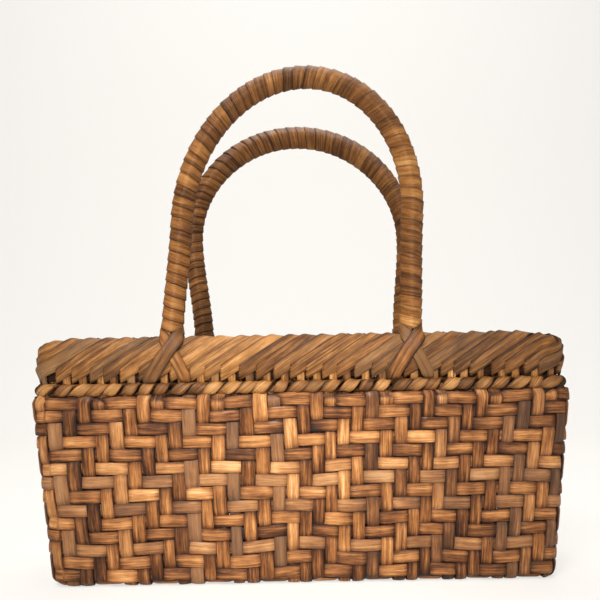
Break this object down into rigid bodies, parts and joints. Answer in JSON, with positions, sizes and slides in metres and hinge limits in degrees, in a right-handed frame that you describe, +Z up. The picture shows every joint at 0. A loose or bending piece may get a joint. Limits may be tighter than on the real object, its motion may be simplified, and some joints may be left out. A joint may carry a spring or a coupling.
{
  "type": "basket box bag",
  "caption": "Rectangular handbag woven in twill from flat bark strips, with a slanted wrapped rim, a twined row under it and two stiff wrapped arch handles lashed on with crossed strips.",
  "frame": {"origin": "under the middle of the bag, at the centre of the bounding box's underside, on the flat base", "axes": "+X along the long side to the right, +Y to the back, +Z up; the front is the side that faces -Y"},
  "size_m": [0.3384, 0.1306, 0.3226],
  "materials": {
    "weave_strip": "lacquered bark strip, golden brown to dark brown, fine lengthwise fibres",
    "rim_strip": "lacquered bark strip, greyer brown, fine lengthwise fibres",
    "handle_strip": "lacquered bark strip, reddish brown, satin gloss",
    "core_wood": "peeled vine, plain and dull"
  },
  "bodies": {
    "root": {"woven_body": "weave_strip", "outer_twining": "rim_strip", "inner_twining": "rim_strip", "outer_rim_hoop": "core_wood", "inner_rim_hoop": "core_wood", "rim_wrapping": "rim_strip", "front_handle_core": "core_wood", "rear_handle_core": "core_wood", "front_handle_wrapping": "handle_strip", "rear_handle_wrapping": "handle_strip", "front_left_over_lashing": "handle_strip", "front_left_under_lashing": "handle_strip", "front_right_over_lashing": "handle_strip", "front_right_under_lashing": "handle_strip", "rear_left_over_lashing": "handle_strip", "rear_left_under_lashing": "handle_strip", "rear_right_over_lashing": "handle_strip", "rear_right_under_lashing": "handle_strip"}
  },
  "joints": []
}
